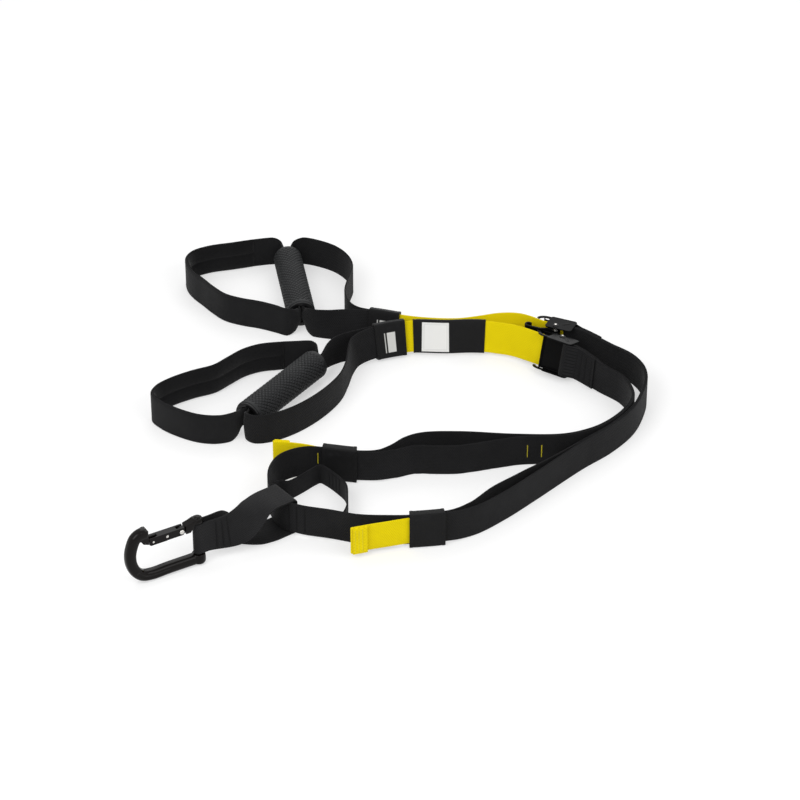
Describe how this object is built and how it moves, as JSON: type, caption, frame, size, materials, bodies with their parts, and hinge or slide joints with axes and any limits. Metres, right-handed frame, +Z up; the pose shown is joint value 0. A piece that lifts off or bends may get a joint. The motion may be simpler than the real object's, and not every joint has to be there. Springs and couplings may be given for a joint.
{
  "type": "suspension trainer",
  "caption": "Suspension trainer: adjustable webbing legs with cam buckles, handles with foot cradles, and an anchor loop with a carabiner, laid flat on its edges",
  "frame": {"origin": "middle of the footprint, on the surface it lies on", "axes": "+Z up; +Y from the carabiner's side towards the handles' far side; +X from the handles towards the cam buckles"},
  "size_m": [0.5715, 0.6733, 0.0667],
  "materials": {
    "black_webbing": "woven, matt",
    "anchor_webbing": "woven, slightly shiny",
    "yellow_webbing": "woven, matt",
    "cradle_fabric": "padded, woven, matt",
    "sleeve_fabric": "stitched, matt",
    "label_fabric": "smooth, printed panels",
    "grip_rubber": "knurled, matt",
    "tube_plastic": "satin",
    "buckle_paint": "satin black",
    "pin_steel": "plain",
    "spring_steel": "wire",
    "carabiner_coat": "glossy dark coat"
  },
  "bodies": {
    "webbing": {"adjuster_strap_a": "black_webbing", "adjuster_strap_b": "black_webbing", "anchor_loop": "anchor_webbing", "cam_frame_a": "buckle_paint", "cam_frame_b": "buckle_paint", "cam_pin_a": "pin_steel", "cam_pin_b": "pin_steel", "cam_spring_a": "spring_steel", "cam_spring_b": "spring_steel", "cradle_pad_a": "cradle_fabric", "cradle_pad_b": "cradle_fabric", "foot_cradle_a": "cradle_fabric", "foot_cradle_b": "cradle_fabric", "handle_keeper_a": "sleeve_fabric", "handle_keeper_b": "sleeve_fabric", "handle_strap_a": "black_webbing", "handle_strap_b": "black_webbing", "label_sleeve": "label_fabric", "locking_loop": "black_webbing", "lower_strap_a": "yellow_webbing", "lower_strap_b": "yellow_webbing", "main_strap": "black_webbing", "pull_tab_a": "yellow_webbing", "pull_tab_b": "yellow_webbing", "slider_keeper_a": "sleeve_fabric", "slider_keeper_b": "sleeve_fabric"},
    "carabiner": {"carabiner_body": "carabiner_coat", "carabiner_hinge_arm": "carabiner_coat", "captive_bar": "carabiner_coat", "gate_rivet": "pin_steel"},
    "gate": {"carabiner_gate": "carabiner_coat", "gate_latch_pin": "pin_steel", "gate_plunger": "pin_steel", "gate_spring": "spring_steel"},
    "grip_a": {"grip_sleeve_a": "grip_rubber", "grip_tube_a": "tube_plastic"},
    "grip_b": {"grip_sleeve_b": "grip_rubber", "grip_tube_b": "tube_plastic"},
    "lever_a": {"cam_lever_a": "buckle_paint"},
    "lever_b": {"cam_lever_b": "buckle_paint"}
  },
  "joints": [
    {"name": "carabiner_swing", "type": "hinge", "parent": "webbing", "child": "carabiner", "pos_m": [-0.21185, -0.2922, 0.0325], "axis": [0, 0, 1], "range_deg": [-50, 50]},
    {"name": "gate_hinge", "type": "hinge", "parent": "carabiner", "child": "gate", "pos_m": [-0.22942, -0.30276, 0.0495], "axis": [0.515, -0.8572, 0], "range_deg": [0, 26], "stiffness_Nm_per_rad": 0.05, "springref_deg": -20.05},
    {"name": "grip_a_spin", "type": "hinge", "parent": "webbing", "child": "grip_a", "pos_m": [-0.13285, 0.0178, 0.019], "axis": [0.5547, 0.8321, 0], "continuous": true},
    {"name": "grip_b_spin", "type": "hinge", "parent": "webbing", "child": "grip_b", "pos_m": [-0.12535, 0.2493, 0.019], "axis": [-0.1537, 0.9881, 0], "continuous": true},
    {"name": "cam_lever_a_press", "type": "hinge", "parent": "webbing", "child": "lever_a", "pos_m": [0.18454, 0.08446, 0.00447], "axis": [0.1543, 0.2324, 0.9603], "range_deg": [0, 9], "stiffness_Nm_per_rad": 0.05, "springref_deg": -11.46},
    {"name": "cam_lever_b_press", "type": "hinge", "parent": "webbing", "child": "lever_b", "pos_m": [0.1837, 0.11754, 0.0035], "axis": [0, 0, -1], "range_deg": [0, 9], "stiffness_Nm_per_rad": 0.05, "springref_deg": -11.46}
  ]
}
